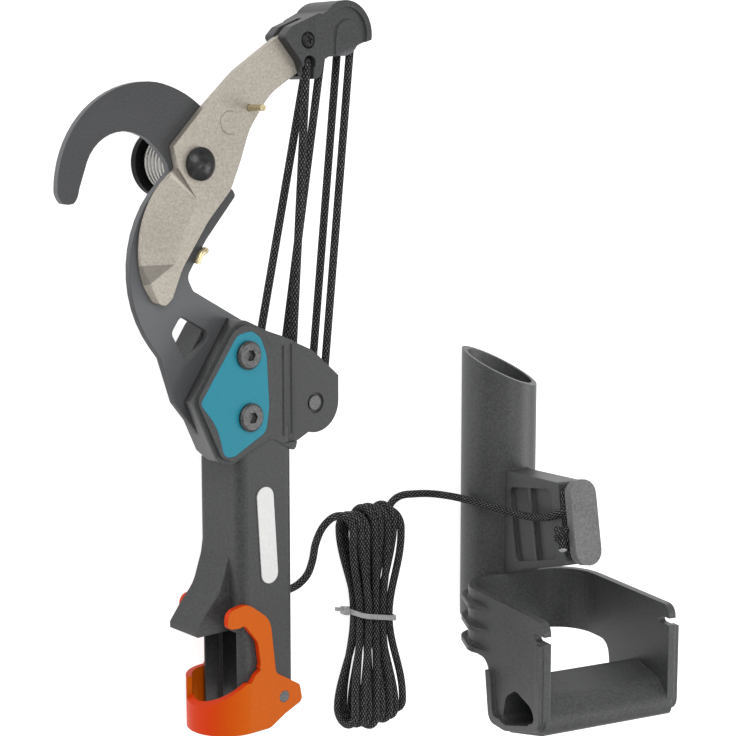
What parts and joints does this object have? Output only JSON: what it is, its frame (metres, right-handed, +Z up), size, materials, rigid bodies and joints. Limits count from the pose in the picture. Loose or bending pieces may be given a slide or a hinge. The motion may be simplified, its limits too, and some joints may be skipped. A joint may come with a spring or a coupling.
{
  "type": "tree pruner head with pull cord and handle",
  "caption": "Rope-pulled bypass pruner head with a hooked jaw, cord tackle and clip-on pole socket, its cord in a tied hank and a separate D-grip pull handle.",
  "frame": {"origin": "on the pole socket's axis, at the mouth of its clip", "axes": "+Y up the head from the socket to the jaw, +Z up from the table out of the cover, +X to the hank"},
  "size_m": [0.3252, 0.3953, 0.1464],
  "materials": {
    "body_plastic": "matte",
    "cover": "satin",
    "badge": "satin",
    "hook": "matte",
    "blade": "satin",
    "black": "satin",
    "fastener": "satin",
    "spring": "satin",
    "sheave": "satin",
    "clip": "satin",
    "cord": "matte",
    "tie": "satin"
  },
  "bodies": {
    "head": {"housing": "body_plastic", "housing_cover": "cover", "cover_screws": "fastener", "cover_nuts": "fastener", "grip_badge": "badge", "hook_plate": "hook", "pivot_bolt": "black", "pivot_bush": "fastener", "spring_disc": "black", "pivot_nut": "fastener", "return_spring": "spring", "body_axle": "fastener", "strand_anchor": "cord", "strand_front_right": "cord", "strand_front_left": "cord", "strand_back_right": "cord", "strand_pull": "cord", "body_wrap_front": "cord", "body_wrap_back": "cord", "clip_pins": "fastener", "cord_run": "cord", "cord_lead": "cord", "cord_hank": "cord", "cable_tie": "tie", "cord_tail": "cord", "cord_knot": "cord", "pull_handle": "body_plastic", "cleat_plate": "body_plastic"},
    "lever": {"blade": "blade", "lever_cap": "body_plastic", "cap_screw": "fastener", "cap_axle": "fastener", "cap_wrap_front": "cord", "cap_wrap_back": "cord", "anchor_knot": "cord"},
    "cap_sheave_front": {"cap_sheave_front": "sheave"},
    "cap_sheave_back": {"cap_sheave_back": "sheave"},
    "body_sheave_front": {"body_sheave_front": "sheave"},
    "body_sheave_back": {"body_sheave_back": "sheave"},
    "socket_clip": {"socket_clip": "clip"}
  },
  "joints": [
    {"name": "blade_pivot", "type": "hinge", "parent": "head", "child": "lever", "pos_m": [-0.03, 0.2725, 0.0043], "axis": [0, 0, -1], "range_deg": [0, 58], "stiffness_Nm_per_rad": 0.6, "springref_deg": -20.05, "deforming": ["strand_anchor", "strand_front_right", "strand_front_left", "strand_back_right", "strand_pull", "return_spring"]},
    {"name": "cap_spin_front", "type": "hinge", "parent": "lever", "child": "cap_sheave_front", "pos_m": [0.057, 0.336, 0.005], "axis": [0, 0, 1], "continuous": true},
    {"name": "cap_spin_back", "type": "hinge", "parent": "lever", "child": "cap_sheave_back", "pos_m": [0.057, 0.336, -0.005], "axis": [0, 0, 1], "continuous": true},
    {"name": "body_spin_front", "type": "hinge", "parent": "head", "child": "body_sheave_front", "pos_m": [0.0355, 0.151, 0.005], "axis": [0, 0, 1], "continuous": true},
    {"name": "body_spin_back", "type": "hinge", "parent": "head", "child": "body_sheave_back", "pos_m": [0.0355, 0.151, -0.005], "axis": [0, 0, 1], "continuous": true},
    {"name": "clip_hinge", "type": "hinge", "parent": "head", "child": "socket_clip", "pos_m": [0.0075, 0.0045, 0], "axis": [0, 0, 1], "range_deg": [0, 75]}
  ]
}
